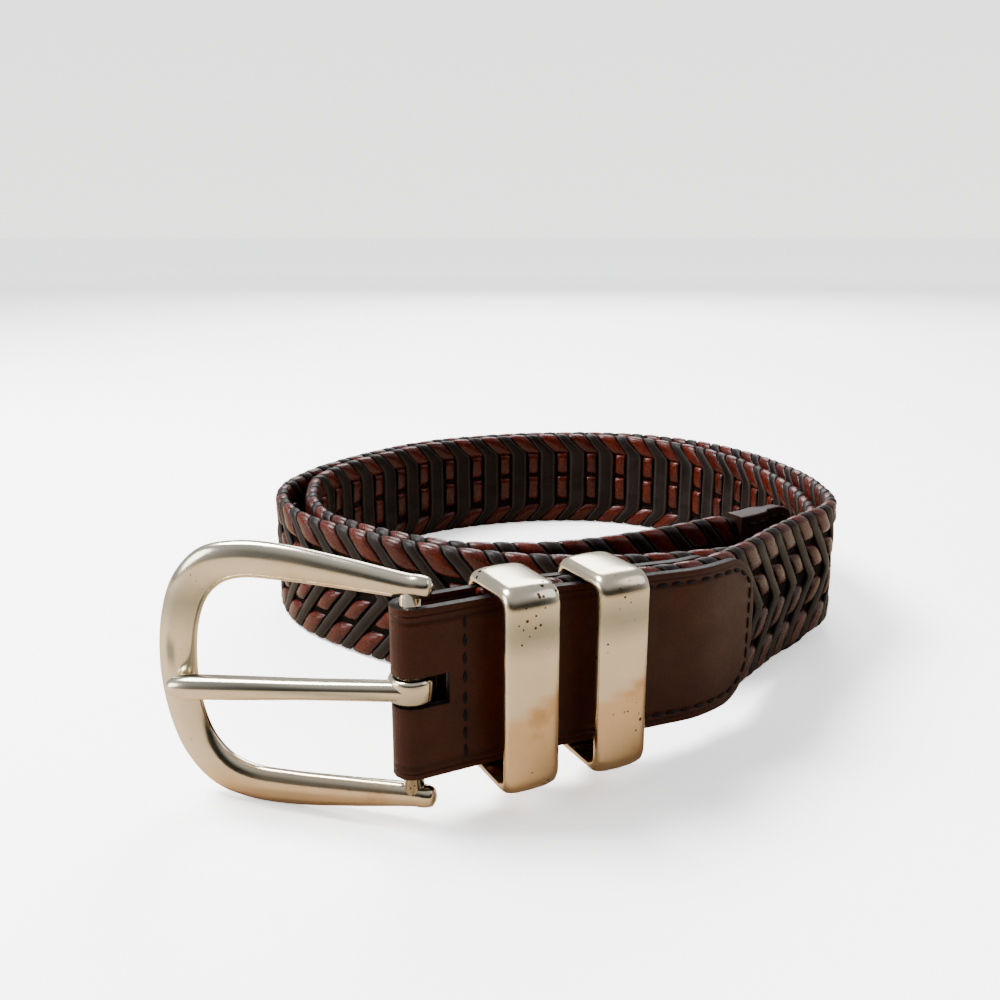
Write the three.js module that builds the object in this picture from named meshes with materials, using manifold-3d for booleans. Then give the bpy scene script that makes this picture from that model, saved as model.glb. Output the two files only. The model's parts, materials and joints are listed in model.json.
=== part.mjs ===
// Braided leather belt, coiled and standing on its edge, with a cast buckle and two metal keepers.
// Units are millimetres and +Z is up. The chape, the plain leather at the buckle, runs along +X.
import * as THREE from 'three';
import { mergeVertices } from 'three/addons/utils/BufferGeometryUtils.js';
import Module from 'manifold-3d';

// Strap
const STRAP_WIDTH = 32;
const STRAP_THICKNESS = 3.5;
const STRAP_CHAMFER = 1;
const BRAID_START = 12;            // distances along the strap are counted from the buckle's bar
const FIT_GAP = 0.3;               // between pieces that are sewn or fitted together

// Chape
const LEATHER = 1.5;
const LEATHER_CHAMFER = 0.25;
const CHAPE_WIDTH = 31;
const CHAPE_LENGTH = 77.5;
const CHAPE_BACK_LENGTH = 74;
const CHAPE_END_DEPTH = 11.5;      // length of the rounded end
const CHAPE_END_FLAT = 9;          // straight part of that end
const CHAPE_LIFT = 9.9;            // height of the strap's lower edge above the surface there
const SLOT_END = 8;                // slot for the prong, through both layers
const SLOT_PLAY = 0.6;

// Tip tab
const TIP_LENGTH = 25;
const TIP_OVERLAP = 9;             // how far the tab covers the braid
const TIP_END_DEPTH = 10;
const TIP_END_FLAT = 8;
const PRESSED_THICKNESS = 2;       // braid inside the tab
const PRESSED_WIDTH = 28;
const PRESS_RUN = 5;               // length over which the braid thins

// Coil, seen from above
const COIL_RADIUS = 73;
const LAYER_GAP = 0.6;
const BAR_SETBACK = 83;            // from the coil's centre back to the buckle's bar, along X
const BAR_OFFSET = 100.2;          // and across, along Y
const STRAIGHT_RUN = 55;
const JOIN_TURN = -66;             // degrees round the coil where the strap meets its outer turn
const TIP_TURN = 675;              // and where it ends
const LEAD_OUT = 14;               // handles of the curve between the chape and the coil
const LEAD_IN = 28;
const LEVEL_RUN = 22;              // the strap starts to sink here
const SINK_RUN = 262;              // and lies on the surface after this length
const SINK_POWER = 1.5;

// Buckle
const BAR_RADIUS = 1.8;
const BUCKLE_ANGLE = 138;          // plan direction of the buckle from its bar
const BUCKLE_HALF_HEIGHT = 25;
const BUCKLE_REACH = 48.6;         // bar axis to the far outside edge
const FRAME_HALF_DEPTH = 1.9;
const ARM_OVERHANG = 4;            // arm ends past the bar axis
const ARM_HALF = 2.1;              // half the arm's height at the bar

// Prong
const PRONG_REACH = 45;
const PRONG_RADIUS = 2.25;
const PRONG_RISE = 1.4;            // eye above the buckle's middle
const PRONG_DROP = 3.6;            // tip below eye
const EYE_WALL = 2;
const EYE_HEIGHT = 4.4;
const EYE_CHAMFER = 0.6;
const EYE_PLAY = 0.3;

// Keepers
const KEEPER_BAND = 10.6;
const KEEPER_WALL = 2.3;
const KEEPER_FRONT_ROOM = 5.2;     // between the chape's face and the loop, for the strap's end
const KEEPER_BACK_GAP = 0.4;
const KEEPER_HEIGHT_PLAY = 2;
const KEEPER_CORNER = 4;           // outside corner radius
const KEEPER_CHAMFER = 1.1;
const KEEPERS = [
  { name: 'keeper_1', at: 18.2 },
  { name: 'keeper_2', at: 36.4 },
];

// Fineness of the curved shapes
const STRAP_STEP = 6;
const SHEET_STEP = 4;
const TURN_STEP = 3;
const END_STEPS = 6;
const FOLD_STEPS = 8;
const ROUND_SIDES = 12;
const FRAME_STEPS = 52;
const PRONG_STEPS = 12;
const CORNER_STEPS = 4;
const OVERCUT = 1;                 // how far a cutting body sticks out of what it cuts

// Outer turn of the coil: its radius at each direction, as a share of the coil's radius
const RING = [
  { turn: 0, reach: 0.99 },
  { turn: 20, reach: 1.016 },
  { turn: 40, reach: 1.012 },
  { turn: 60, reach: 0.967 },
  { turn: 80, reach: 0.93 },
  { turn: 100, reach: 0.923 },
  { turn: 120, reach: 0.917 },
  { turn: 140, reach: 0.968 },
  { turn: 160, reach: 1.03 },
  { turn: 180, reach: 1.02 },
  { turn: 200, reach: 0.972 },
  { turn: 220, reach: 0.966 },
  { turn: 240, reach: 0.982 },
  { turn: 260, reach: 1.016 },
  { turn: 280, reach: 1.073 },
  { turn: 300, reach: 1.106 },
  { turn: 320, reach: 1.03 },
  { turn: 340, reach: 0.985 },
];

// How many strap layers the coil has stepped inwards, by degrees travelled round it
const LAYERS = [
  { turn: -66, layers: 0 },
  { turn: 250, layers: 0 },
  { turn: 274, layers: 0.14 },
  { turn: 292, layers: 1 },
  { turn: 490, layers: 1 },
  { turn: 510, layers: 1.45 },
  { turn: 521, layers: 2 },
  { turn: 534, layers: 1.8 },
  { turn: 546, layers: 1.3 },
  { turn: 558, layers: 1.04 },
  { turn: 581, layers: 1.08 },
  { turn: 591, layers: 1.7 },
  { turn: 601, layers: 2.35 },
  { turn: 610, layers: 3.15 },
  { turn: 622, layers: 4.15 },
  { turn: 634, layers: 5 },
  { turn: 647, layers: 5.4 },
  { turn: 661, layers: 4.5 },
  { turn: 675, layers: 2.25 },
];

// Middle line of the buckle from the bar to the far edge, as shares of its reach and half height
const FRAME = [
  { along: 0, up: 0.774, half: 0.086 },
  { along: 0.25, up: 0.824, half: 0.112 },
  { along: 0.49, up: 0.862, half: 0.132 },
  { along: 0.65, up: 0.855, half: 0.136 },
  { along: 0.765, up: 0.785, half: 0.148 },
  { along: 0.85, up: 0.62, half: 0.148 },
  { along: 0.902, up: 0.37, half: 0.146 },
  { along: 0.924, up: 0, half: 0.148 },
];

// Thickness of the prong's pin along its reach
const PIN = [
  { along: 0, size: 0.84 },
  { along: 0.3, size: 0.84 },
  { along: 0.75, size: 0.98 },
  { along: 0.88, size: 1 },
  { along: 0.95, size: 0.86 },
  { along: 0.985, size: 0.58 },
  { along: 1, size: 0.2 },
];

const UP = new THREE.Vector3(0, 0, 1);
const CHANNEL_HALF = Math.max(BAR_RADIUS, STRAP_THICKNESS / 2) + FIT_GAP;
const CHAPE_HALF = CHANNEL_HALF + LEATHER;
const LAYER_PITCH = STRAP_THICKNESS + LAYER_GAP;

const wasm = await Module();
wasm.setup();

function toSolid(geometry) {
  const bare = geometry.clone();
  bare.deleteAttribute('normal');
  bare.deleteAttribute('uv');
  const merged = mergeVertices(bare, 1e-5);
  return new wasm.Manifold(new wasm.Mesh({
    numProp: 3,
    vertProperties: new Float32Array(merged.attributes.position.array),
    triVerts: new Uint32Array(merged.index.array),
  }));
}

function toGeometry(solid) {
  const mesh = solid.getMesh();
  const geometry = new THREE.BufferGeometry();
  geometry.setAttribute('position', new THREE.BufferAttribute(mesh.vertProperties, 3));
  geometry.setIndex(new THREE.BufferAttribute(mesh.triVerts, 1));
  return geometry;
}

// Skins a row of rings with the same number of points. Each ring turns anticlockwise as seen
// from the next one. The row's ends are closed flat, or joined to each other in a loop.
function loft(rings, isLoop = false) {
  const count = rings[0].length;
  const positions = rings.flat().flatMap((point) => point.toArray());
  const faces = [];
  const rows = isLoop ? rings.length : rings.length - 1;
  for (let row = 0; row < rows; row += 1) {
    const next = ((row + 1) % rings.length) * count;
    for (let i = 0; i < count; i += 1) {
      const j = (i + 1) % count;
      faces.push(row * count + i, row * count + j, next + j);
      faces.push(row * count + i, next + j, next + i);
    }
  }
  const last = (rings.length - 1) * count;
  for (let i = 1; i < count - 1 && !isLoop; i += 1) {
    faces.push(0, i + 1, i);
    faces.push(last, last + i, last + i + 1);
  }
  const geometry = new THREE.BufferGeometry();
  geometry.setAttribute('position', new THREE.Float32BufferAttribute(positions, 3));
  geometry.setIndex(faces);
  return geometry;
}

// Smooth value from a table's rows, without overshooting them
function readTable(rows, keyName, valueName, key) {
  const keys = rows.map((row) => row[keyName]);
  const values = rows.map((row) => row[valueName]);
  const last = keys.length - 1;
  if (key <= keys[0]) return values[0];
  if (key >= keys[last]) return values[last];
  const slope = (i) => (values[i + 1] - values[i]) / (keys[i + 1] - keys[i]);
  const tangent = (i) => {
    if (i === 0 || i === last || slope(i - 1) * slope(i) <= 0) return 0;
    return (2 * slope(i - 1) * slope(i)) / (slope(i - 1) + slope(i));
  };
  const i = keys.findIndex((_, n) => key < keys[n + 1]);
  const span = keys[i + 1] - keys[i];
  const t = (key - keys[i]) / span;
  const blend = t * t * (3 - 2 * t);
  const leave = t * (1 - t) ** 2 * span * tangent(i);
  const arrive = t * t * (t - 1) * span * tangent(i + 1);
  return values[i] + (values[i + 1] - values[i]) * blend + leave + arrive;
}

const ringCurve = new THREE.CatmullRomCurve3(
  RING.map((row) => new THREE.Vector3(row.reach * COIL_RADIUS, 0, 0)),
  true,
  'catmullrom',
);

function coilPoint(turn) {
  const share = THREE.MathUtils.euclideanModulo(turn, 360) / 360;
  const inset = readTable(LAYERS, 'turn', 'layers', turn) * LAYER_PITCH;
  const radius = ringCurve.getPoint(share).x - inset;
  const angle = THREE.MathUtils.degToRad(turn);
  return new THREE.Vector3(radius * Math.cos(angle), radius * Math.sin(angle), 0);
}

const barPoint = new THREE.Vector3(-BAR_SETBACK, -BAR_OFFSET, 0);

// The strap's middle line from above: straight at the buckle, then a lead-in, then the coil
function strapPath() {
  const leadStart = barPoint.clone().setX(barPoint.x + STRAIGHT_RUN);
  const leadEnd = coilPoint(JOIN_TURN);
  const heading = coilPoint(JOIN_TURN + 1).sub(leadEnd).normalize();
  const lead = new THREE.CubicBezierCurve3(
    leadStart,
    leadStart.clone().setX(leadStart.x + LEAD_OUT),
    leadEnd.clone().addScaledVector(heading, -LEAD_IN),
    leadEnd,
  );
  const points = new THREE.LineCurve3(barPoint, leadStart).getPoints(12);
  points.push(...lead.getPoints(16).slice(1));
  for (let turn = JOIN_TURN + TURN_STEP; turn <= TIP_TURN; turn += TURN_STEP) {
    points.push(coilPoint(turn));
  }
  const path = new THREE.CatmullRomCurve3(points, false, 'centripetal');
  path.arcLengthDivisions = points.length * 12;
  return path;
}

const strapLine = strapPath();
const STRAP_LENGTH = strapLine.getLength();
const TIP_START = STRAP_LENGTH - TIP_LENGTH;
const BRAID_END = TIP_START + TIP_OVERLAP;

// Where the strap is at a distance from the bar: its line, its inward side and its middle height
function strapAt(distance) {
  const share = THREE.MathUtils.clamp(distance / STRAP_LENGTH, 0, 1);
  const along = strapLine.getTangentAt(share).setZ(0).normalize();
  const sunk = THREE.MathUtils.clamp((distance - LEVEL_RUN) / SINK_RUN, 0, 1);
  const lift = CHAPE_LIFT * (1 - sunk) ** SINK_POWER;
  return {
    point: strapLine.getPointAt(share),
    inward: new THREE.Vector3(-along.y, along.x, 0),
    middle: lift + STRAP_WIDTH / 2,
  };
}

// Rectangle with chamfered corners, standing on the point given
function flatRing(point, across, middle, thickness, width, chamfer) {
  const halfT = thickness / 2;
  const halfW = width / 2;
  const outline = [
    [-halfT, -halfW + chamfer], [-halfT + chamfer, -halfW],
    [halfT - chamfer, -halfW], [halfT, -halfW + chamfer],
    [halfT, halfW - chamfer], [halfT - chamfer, halfW],
    [-halfT + chamfer, halfW], [-halfT, halfW - chamfer],
  ];
  return outline.map(([side, up]) => point.clone().addScaledVector(across, side).setZ(middle + up));
}

function ovalRing(point, tangent, up, halfSide, halfUp) {
  const side = up.clone().cross(tangent).normalize();
  const rise = tangent.clone().cross(side).normalize();
  return Array.from({ length: ROUND_SIDES }, (_, i) => {
    const angle = (2 * Math.PI * i) / ROUND_SIDES;
    return point.clone()
      .addScaledVector(side, halfSide * Math.cos(angle))
      .addScaledVector(rise, halfUp * Math.sin(angle));
  });
}

function steps(from, to, size) {
  const count = Math.max(1, Math.round((to - from) / size));
  return Array.from({ length: count + 1 }, (_, i) => from + ((to - from) * i) / count);
}

// Width of a rounded leather end at a distance from its tip
function endWidth(width, flat, depth, fromTip) {
  const reach = THREE.MathUtils.clamp(1 - fromTip / depth, 0, 1);
  return flat + (width - flat) * Math.sqrt(1 - reach * reach);
}

function endDistances(depth) {
  return Array.from({ length: END_STEPS }, (_, i) => (
    depth * (1 - Math.sin((Math.PI * (i + 1)) / (2 * END_STEPS)))
  ));
}

function braidRing(distance) {
  const { point, inward, middle } = strapAt(distance);
  const pressed = THREE.MathUtils.clamp((distance - TIP_START + PRESS_RUN) / PRESS_RUN, 0, 1);
  const thickness = THREE.MathUtils.lerp(STRAP_THICKNESS, PRESSED_THICKNESS, pressed);
  const width = THREE.MathUtils.lerp(STRAP_WIDTH, PRESSED_WIDTH, pressed);
  const chamfer = Math.min(STRAP_CHAMFER, thickness / 4);
  return flatRing(point, inward, middle, thickness, width, chamfer);
}

function makeBraid() {
  const distances = [
    ...steps(BRAID_START, TIP_START - PRESS_RUN, STRAP_STEP),
    ...steps(TIP_START, BRAID_END, STRAP_STEP),
  ];
  return loft(distances.map((distance) => braidRing(distance)));
}

// One sheet of leather, folded round the bar, with the braid's end between its two layers
function makeChape() {
  const sheetOffset = CHANNEL_HALF + LEATHER / 2;
  const layerDistances = (length) => [
    ...steps(0, length - CHAPE_END_DEPTH, SHEET_STEP),
    ...endDistances(CHAPE_END_DEPTH).map((fromTip) => length - fromTip),
  ];
  const layerRing = (distance, length, side) => {
    const { point, inward, middle } = strapAt(distance);
    const width = endWidth(CHAPE_WIDTH, CHAPE_END_FLAT, CHAPE_END_DEPTH, length - distance);
    const centre = point.addScaledVector(inward, side * sheetOffset);
    return flatRing(centre, inward.multiplyScalar(-side), middle, LEATHER, width, LEATHER_CHAMFER);
  };
  const back = layerDistances(CHAPE_BACK_LENGTH)
    .map((distance) => layerRing(distance, CHAPE_BACK_LENGTH, 1))
    .reverse();
  const front = layerDistances(CHAPE_LENGTH)
    .map((distance) => layerRing(distance, CHAPE_LENGTH, -1));
  const middle = strapAt(0).middle;
  const fold = Array.from({ length: FOLD_STEPS - 1 }, (_, i) => {
    const angle = Math.PI / 2 + (Math.PI * (i + 1)) / FOLD_STEPS;
    const outward = new THREE.Vector3(Math.cos(angle), Math.sin(angle), 0);
    const centre = barPoint.clone().addScaledVector(outward, sheetOffset);
    return flatRing(centre, outward.negate(), middle, LEATHER, CHAPE_WIDTH, LEATHER_CHAMFER);
  });
  const slotHeight = EYE_HEIGHT + 2 * SLOT_PLAY;
  const slotBack = CHAPE_HALF + OVERCUT;
  const slot = new THREE.BoxGeometry(slotBack + SLOT_END, 2 * slotBack, slotHeight);
  slot.translate(barPoint.x + (SLOT_END - slotBack) / 2, barPoint.y, BUCKLE_HALF_HEIGHT + PRONG_RISE);
  return toGeometry(toSolid(loft([...back, ...fold, ...front])).subtract(toSolid(slot)));
}

function makeTipTab() {
  const pocketed = PRESSED_THICKNESS + 2 * (FIT_GAP + LEATHER);
  const overBraid = [...steps(TIP_START, BRAID_END, STRAP_STEP), BRAID_END + FIT_GAP];
  const distances = [
    ...overBraid,
    ...steps(BRAID_END + LEATHER, STRAP_LENGTH - TIP_END_DEPTH, SHEET_STEP),
    ...endDistances(TIP_END_DEPTH).map((fromTip) => STRAP_LENGTH - fromTip),
  ];
  const rings = distances.map((distance) => {
    const { point, inward, middle } = strapAt(distance);
    const isOverBraid = distance < BRAID_END + LEATHER;
    const thickness = isOverBraid ? pocketed : 2 * LEATHER;
    const width = endWidth(CHAPE_WIDTH, TIP_END_FLAT, TIP_END_DEPTH, STRAP_LENGTH - distance);
    return flatRing(point, inward, middle, thickness, width, LEATHER_CHAMFER);
  });
  const pocket = [TIP_START - OVERCUT, ...overBraid].map((distance) => {
    const { point, inward, middle } = strapAt(distance);
    const thickness = PRESSED_THICKNESS + 2 * FIT_GAP;
    const width = PRESSED_WIDTH + 2 * FIT_GAP;
    return flatRing(point, inward, middle, thickness, width, LEATHER_CHAMFER);
  });
  return toGeometry(toSolid(loft(rings)).subtract(toSolid(loft(pocket))));
}

// Buckle coordinates: along the buckle from the bar, up from its middle, and towards its front
const buckleAlong = new THREE.Vector3(1, 0, 0)
  .applyAxisAngle(UP, THREE.MathUtils.degToRad(BUCKLE_ANGLE));
const buckleFront = UP.clone().cross(buckleAlong);

function bucklePoint(along, up, front = 0) {
  return barPoint.clone()
    .addScaledVector(buckleAlong, along)
    .addScaledVector(buckleFront, front)
    .setZ(BUCKLE_HALF_HEIGHT + up);
}

function makeFrame() {
  const armEnd = [
    { along: -ARM_OVERHANG, size: 0.3 },
    { along: -ARM_OVERHANG + ARM_HALF / 4, size: 0.78 },
    { along: -ARM_OVERHANG + ARM_HALF, size: 1 },
  ];
  const upper = [
    ...armEnd.map((row) => new THREE.Vector3(
      row.along, FRAME[0].up * BUCKLE_HALF_HEIGHT, row.size * ARM_HALF,
    )),
    ...FRAME.map((row) => new THREE.Vector3(
      row.along * BUCKLE_REACH,
      row.up * BUCKLE_HALF_HEIGHT,
      Math.max(ARM_HALF, row.half * BUCKLE_HALF_HEIGHT),
    )),
  ];
  const lower = upper.slice(0, -1).reverse().map((row) => row.clone().setY(-row.y));
  const middleLine = new THREE.CatmullRomCurve3([...upper, ...lower], false, 'centripetal');
  const rings = Array.from({ length: FRAME_STEPS + 1 }, (_, i) => {
    const at = middleLine.getPoint(i / FRAME_STEPS);
    const heading = middleLine.getTangent(i / FRAME_STEPS);
    const tangent = buckleAlong.clone().multiplyScalar(heading.x).setZ(heading.y).normalize();
    const halfDepth = FRAME_HALF_DEPTH * Math.min(1, at.z / ARM_HALF);
    return ovalRing(bucklePoint(at.x, at.y), tangent, buckleFront, at.z, halfDepth);
  });
  const barLength = 2 * FRAME[0].up * BUCKLE_HALF_HEIGHT;
  const bar = new THREE.CylinderGeometry(BAR_RADIUS, BAR_RADIUS, barLength, ROUND_SIDES);
  bar.rotateX(Math.PI / 2);
  bar.translate(barPoint.x, barPoint.y, BUCKLE_HALF_HEIGHT);
  return toGeometry(toSolid(loft(rings)).add(toSolid(bar)));
}

function makeProng() {
  const holeRadius = BAR_RADIUS + EYE_PLAY;
  const eyeRadius = holeRadius + EYE_WALL;
  const half = EYE_HEIGHT / 2;
  const eye = new THREE.LatheGeometry([
    new THREE.Vector2(0, -half),
    new THREE.Vector2(eyeRadius - EYE_CHAMFER, -half),
    new THREE.Vector2(eyeRadius, -half + EYE_CHAMFER),
    new THREE.Vector2(eyeRadius, half - EYE_CHAMFER),
    new THREE.Vector2(eyeRadius - EYE_CHAMFER, half),
    new THREE.Vector2(0, half),
  ], 2 * ROUND_SIDES);
  const hole = new THREE.CylinderGeometry(holeRadius, holeRadius, EYE_HEIGHT + OVERCUT, 2 * ROUND_SIDES);
  for (const turned of [eye, hole]) {
    turned.rotateX(Math.PI / 2);
    turned.translate(barPoint.x, barPoint.y, BUCKLE_HALF_HEIGHT + PRONG_RISE);
  }
  const frontAtEye = eyeRadius - PRONG_RADIUS * PIN[0].size;
  const frontAtTip = FRAME_HALF_DEPTH + FIT_GAP + PRONG_RADIUS;
  const pinPoint = (share) => bucklePoint(
    share * PRONG_REACH,
    PRONG_RISE - share * PRONG_DROP,
    THREE.MathUtils.lerp(frontAtEye, frontAtTip, share),
  );
  const tangent = pinPoint(1).sub(pinPoint(0)).normalize();
  const shares = [
    ...Array.from({ length: PRONG_STEPS }, (_, i) => (i / PRONG_STEPS) * PIN[4].along),
    ...PIN.slice(4).map((row) => row.along),
  ];
  const pin = loft(shares.map((share) => {
    const radius = PRONG_RADIUS * readTable(PIN, 'along', 'size', share);
    return ovalRing(pinPoint(share), tangent, UP, radius, radius);
  }));
  return toGeometry(toSolid(eye).add(toSolid(pin)).subtract(toSolid(hole)));
}

// A band bent into a loop round the strap. It hangs on the strap's upper edge.
function makeKeeper({ at }) {
  const backInside = CHAPE_HALF + KEEPER_BACK_GAP;
  const frontInside = -(CHAPE_HALF + KEEPER_FRONT_ROOM);
  const topInside = strapAt(at - KEEPER_BAND / 2).middle + STRAP_WIDTH / 2 + FIT_GAP;
  const bottomInside = topInside - STRAP_WIDTH - KEEPER_HEIGHT_PLAY;
  const insideRadius = KEEPER_CORNER - KEEPER_WALL;
  const halfBand = KEEPER_BAND / 2;
  const section = [
    [-halfBand, 0], [halfBand, 0],
    [halfBand, KEEPER_WALL - KEEPER_CHAMFER], [halfBand - KEEPER_CHAMFER, KEEPER_WALL],
    [-halfBand + KEEPER_CHAMFER, KEEPER_WALL], [-halfBand, KEEPER_WALL - KEEPER_CHAMFER],
  ];
  const corners = [
    { y: backInside - insideRadius, z: topInside - insideRadius, start: 0 },
    { y: frontInside + insideRadius, z: topInside - insideRadius, start: 90 },
    { y: frontInside + insideRadius, z: bottomInside + insideRadius, start: 180 },
    { y: backInside - insideRadius, z: bottomInside + insideRadius, start: 270 },
  ];
  const rings = corners.flatMap((corner) => (
    Array.from({ length: CORNER_STEPS + 1 }, (_, i) => {
      const angle = THREE.MathUtils.degToRad(corner.start + (90 * i) / CORNER_STEPS);
      return section.map(([along, out]) => new THREE.Vector3(
        barPoint.x + at + along,
        barPoint.y + corner.y + (insideRadius + out) * Math.cos(angle),
        corner.z + (insideRadius + out) * Math.sin(angle),
      ));
    })
  ));
  return loft(rings, true);
}

const braidLeather = new THREE.MeshStandardMaterial({ color: 0x4f3226, roughness: 0.55 });
const chapeLeather = new THREE.MeshStandardMaterial({ color: 0x53291a, roughness: 0.5 });
const castMetal = new THREE.MeshStandardMaterial({ color: 0xcbb893, roughness: 0.25, metalness: 1 });
const bandMetal = new THREE.MeshStandardMaterial({ color: 0xc2b096, roughness: 0.3, metalness: 1 });

const belt = new THREE.Group();

function addPiece(name, geometry, material) {
  const mesh = new THREE.Mesh(geometry, material.clone());
  mesh.name = name;
  belt.add(mesh);
}

addPiece('braid', makeBraid(), braidLeather);
addPiece('chape', makeChape(), chapeLeather);
addPiece('tip_tab', makeTipTab(), chapeLeather);
addPiece('buckle_frame', makeFrame(), castMetal);
addPiece('prong', makeProng(), castMetal);
for (const keeper of KEEPERS) addPiece(keeper.name, makeKeeper(keeper), bandMetal);

// The origin is under the middle of the whole belt, on the surface that it stands on
const box = new THREE.Box3().setFromObject(belt);
const centre = box.getCenter(new THREE.Vector3());
belt.position.set(-centre.x, -centre.y, -box.min.z);

export default belt;
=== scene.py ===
import bpy
import bmesh
import json
import math
import random
from bisect import bisect_right
from mathutils import Matrix, Vector, noise


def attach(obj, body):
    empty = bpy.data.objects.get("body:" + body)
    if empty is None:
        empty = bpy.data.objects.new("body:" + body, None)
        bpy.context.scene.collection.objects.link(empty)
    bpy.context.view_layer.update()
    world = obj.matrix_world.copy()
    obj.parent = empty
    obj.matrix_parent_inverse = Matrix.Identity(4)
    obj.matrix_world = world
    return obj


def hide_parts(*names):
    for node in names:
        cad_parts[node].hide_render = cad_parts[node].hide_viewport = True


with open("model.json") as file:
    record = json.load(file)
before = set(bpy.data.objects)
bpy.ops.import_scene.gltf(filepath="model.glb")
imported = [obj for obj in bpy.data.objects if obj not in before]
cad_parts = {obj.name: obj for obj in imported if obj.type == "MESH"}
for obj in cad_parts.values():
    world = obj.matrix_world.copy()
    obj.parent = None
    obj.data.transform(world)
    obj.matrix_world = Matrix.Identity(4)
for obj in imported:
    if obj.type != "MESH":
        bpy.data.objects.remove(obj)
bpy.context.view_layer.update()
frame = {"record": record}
mm = 0.001
seed = 11
random.seed(seed)
noise.seed_set(seed)

print("stage: camera")

# the bar that the strap is buckled on; everything is placed from it
hinge = next(j for j in frame["record"]["behaviour"]["joints"] if j["name"] == "buckle_swing")
barX, barY, buckleMiddle = (value / mm for value in hinge["pos_m"])

view = {
    "barAside": -15.0,      # where the camera sees the bar: to its right, and ahead of it
    "barAhead": 156.5,
    "height": 100.6,
    "pitch": 14.85,         # degrees below the horizon
    "heading": 27.0,        # the chape's turn against the picture plane
    "lens": 36.0,
    "sensor": 36.0,
    "clipStart": 0.01,
}
viewTurn = Matrix.Rotation(math.radians(-view["heading"]), 3, "Z")


def placeCamera():
    eye = viewTurn @ Vector((-view["barAside"], -view["barAhead"], 0))
    camera = bpy.data.objects.new("camera", bpy.data.cameras.new("camera"))
    camera.data.lens = view["lens"]
    camera.data.sensor_width = view["sensor"]
    camera.data.clip_start = view["clipStart"]
    camera.location = Vector((barX + eye.x, barY + eye.y, view["height"])) * mm
    camera.rotation_euler = (math.radians(90 - view["pitch"]), 0, math.radians(-view["heading"]))
    bpy.context.scene.collection.objects.link(camera)
    bpy.context.scene.camera = camera


placeCamera()

print("stage: strap line")

strap = {
    "width": 32.0,
    "thickness": 3.5,
    "layerGap": 0.6,
    "lift": 9.9,            # lower edge above the floor at the buckle
    "levelRun": 22.0,
    "sinkRun": 262.0,
    "sinkPower": 1.5,
    "straightRun": 55.0,
}
coil = {
    "radius": 73.0,
    "setback": 83.0,
    "offset": 100.2,
    "joinTurn": -66,
    "tipTurn": 675,
    "leadOut": 14.0,
    "leadIn": 28.0,
    "turnStep": 0.5,
    # outer turn's radius every 20 degrees, as a share of the radius
    "reach": [0.99, 1.016, 1.012, 0.967, 0.93, 0.923, 0.917, 0.968, 1.03,
              1.02, 0.972, 0.966, 0.982, 1.016, 1.073, 1.106, 1.03, 0.985],
    # degrees travelled, layers stepped inwards
    "layers": [(-66, 0), (250, 0), (274, 0.14), (292, 1), (490, 1), (510, 1.45), (521, 2),
               (534, 1.8), (546, 1.3), (558, 1.04), (581, 1.08), (591, 1.7), (601, 2.35),
               (610, 3.15), (622, 4.15), (634, 5), (647, 5.4), (661, 4.5), (675, 2.25)],
}
fitGap = 0.3
layerPitch = strap["thickness"] + strap["layerGap"]


def readTable(rows, key):
    keys = [row[0] for row in rows]
    values = [row[1] for row in rows]
    last = len(rows) - 1
    if key <= keys[0]:
        return values[0]
    if key >= keys[last]:
        return values[last]

    def slope(i):
        return (values[i + 1] - values[i]) / (keys[i + 1] - keys[i])

    def tangent(i):
        if i == 0 or i == last or slope(i - 1) * slope(i) <= 0:
            return 0
        return 2 * slope(i - 1) * slope(i) / (slope(i - 1) + slope(i))

    i = bisect_right(keys, key) - 1
    span = keys[i + 1] - keys[i]
    t = (key - keys[i]) / span
    blend = t * t * (3 - 2 * t)
    leave = t * (1 - t) ** 2 * span * tangent(i)
    arrive = t * t * (t - 1) * span * tangent(i + 1)
    return values[i] + (values[i + 1] - values[i]) * blend + leave + arrive


def coilPoint(turn):
    count = len(coil["reach"])
    at = (turn % 360) / 360 * count
    i = int(at)
    t = at - i
    a, b, c, d = (coil["reach"][(i + k) % count] for k in (-1, 0, 1, 2))
    reach = b + 0.5 * t * (c - a + t * (2 * a - 5 * b + 4 * c - d + t * (3 * (b - c) + d - a)))
    radius = reach * coil["radius"] - readTable(coil["layers"], turn) * layerPitch
    angle = math.radians(turn)
    middle = Vector((barX + coil["setback"], barY + coil["offset"]))
    return middle + Vector((math.cos(angle), math.sin(angle))) * radius


def strapLine():
    bar = Vector((barX, barY))
    a = bar + Vector((strap["straightRun"], 0))
    d = coilPoint(coil["joinTurn"])
    heading = (coilPoint(coil["joinTurn"] + 1) - d).normalized()
    b = a + Vector((coil["leadOut"], 0))
    c = d - heading * coil["leadIn"]
    points = [bar + Vector((step, 0)) for step in range(int(strap["straightRun"]))]
    leadSteps = 120
    for step in range(leadSteps):
        t = step / leadSteps
        points.append(a * (1 - t) ** 3 + b * 3 * t * (1 - t) ** 2 + c * 3 * t * t * (1 - t) + d * t ** 3)
    turn = coil["joinTurn"]
    while turn <= coil["tipTurn"]:
        points.append(coilPoint(turn))
        turn += coil["turnStep"]
    return points


linePoints = strapLine()
lineRuns = [0.0]
for before, after in zip(linePoints, linePoints[1:]):
    lineRuns.append(lineRuns[-1] + (after - before).length)
strapLength = lineRuns[-1]


def linePoint(run):
    i = min(max(bisect_right(lineRuns, run) - 1, 0), len(linePoints) - 2)
    t = (run - lineRuns[i]) / (lineRuns[i + 1] - lineRuns[i])
    return linePoints[i].lerp(linePoints[i + 1], t)


def strapMiddle(run):
    sunk = min(max((run - strap["levelRun"]) / strap["sinkRun"], 0), 1)
    return strap["lift"] * (1 - sunk) ** strap["sinkPower"] + strap["width"] / 2


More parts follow.
